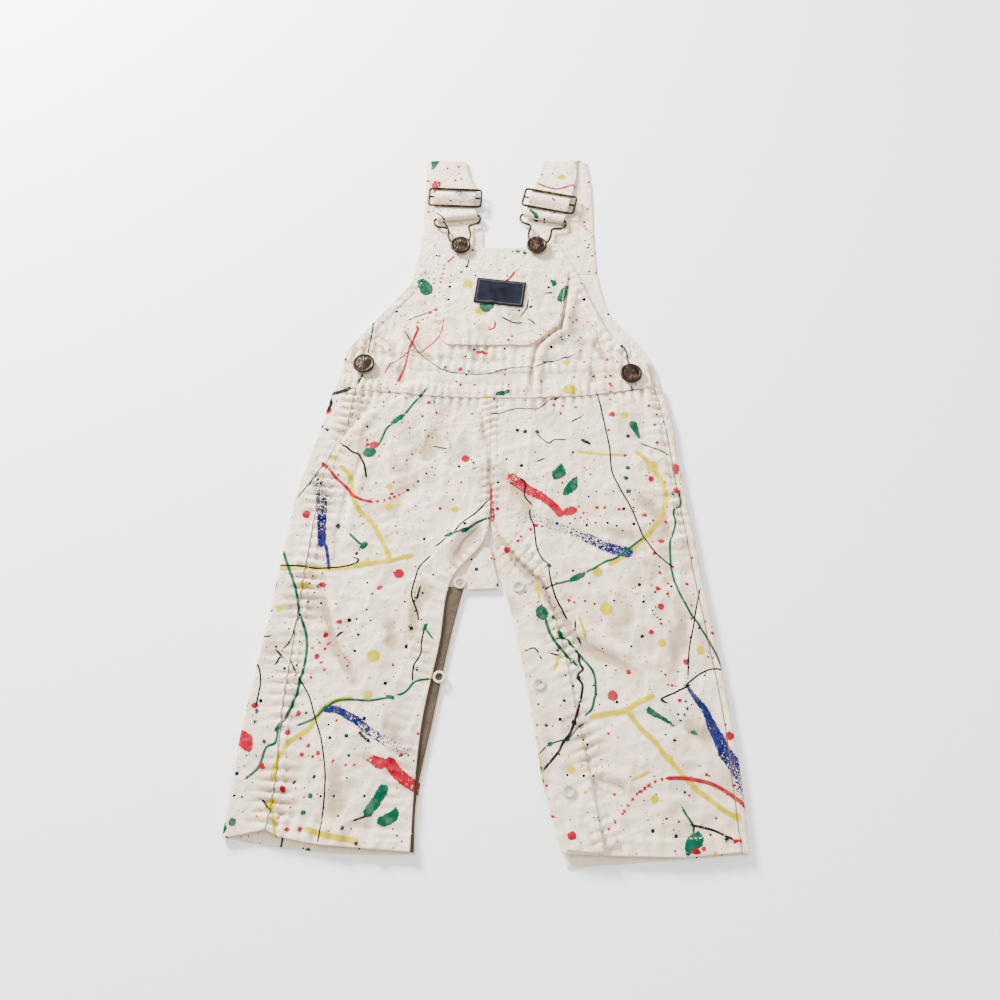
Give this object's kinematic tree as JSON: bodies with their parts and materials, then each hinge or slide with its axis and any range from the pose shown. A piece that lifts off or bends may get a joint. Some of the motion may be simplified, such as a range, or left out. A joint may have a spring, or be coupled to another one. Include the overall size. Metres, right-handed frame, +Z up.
{
  "type": "bib overalls",
  "caption": "Infant bib overalls in paint-spattered cotton twill, laid flat, with folded shoulder straps, slider buckles, tack buttons, a bib pocket and a snap inner-leg closing.",
  "frame": {"origin": "middle of the garment's bounding box, on the surface that it lies on", "axes": "+X to the viewer's right as laid, +Y from the hems to the shoulder straps, +Z up off the surface"},
  "size_m": [0.298, 0.524, 0.0091],
  "materials": {
    "twill": "matte, washed, printed with red, green, blue, yellow and dark paint spatter",
    "label": "woven, plain, slight sheen",
    "bronze": "antique bronze, dark, worn bright on the edges",
    "plastic": "satin"
  },
  "bodies": {
    "root": {"back_leg_left": "twill", "back_leg_right": "twill", "front_leg_left": "twill", "front_leg_right": "twill", "back_bib": "twill", "waistband": "twill", "front_bib": "twill", "bib_pocket": "twill", "label": "label", "crotch_flap": "twill", "snap_placket": "twill", "snap_tape": "twill", "strap_left": "twill", "strap_right": "twill", "hook_left": "bronze", "hook_right": "bronze", "slider_left": "bronze", "slider_right": "bronze", "bib_button_left": "bronze", "bib_button_right": "bronze", "side_button_left": "bronze", "side_button_right": "bronze", "placket_snap_1": "plastic", "placket_snap_2": "plastic", "placket_snap_3": "plastic", "tape_snap_1": "plastic", "tape_snap_2": "plastic"}
  },
  "joints": []
}
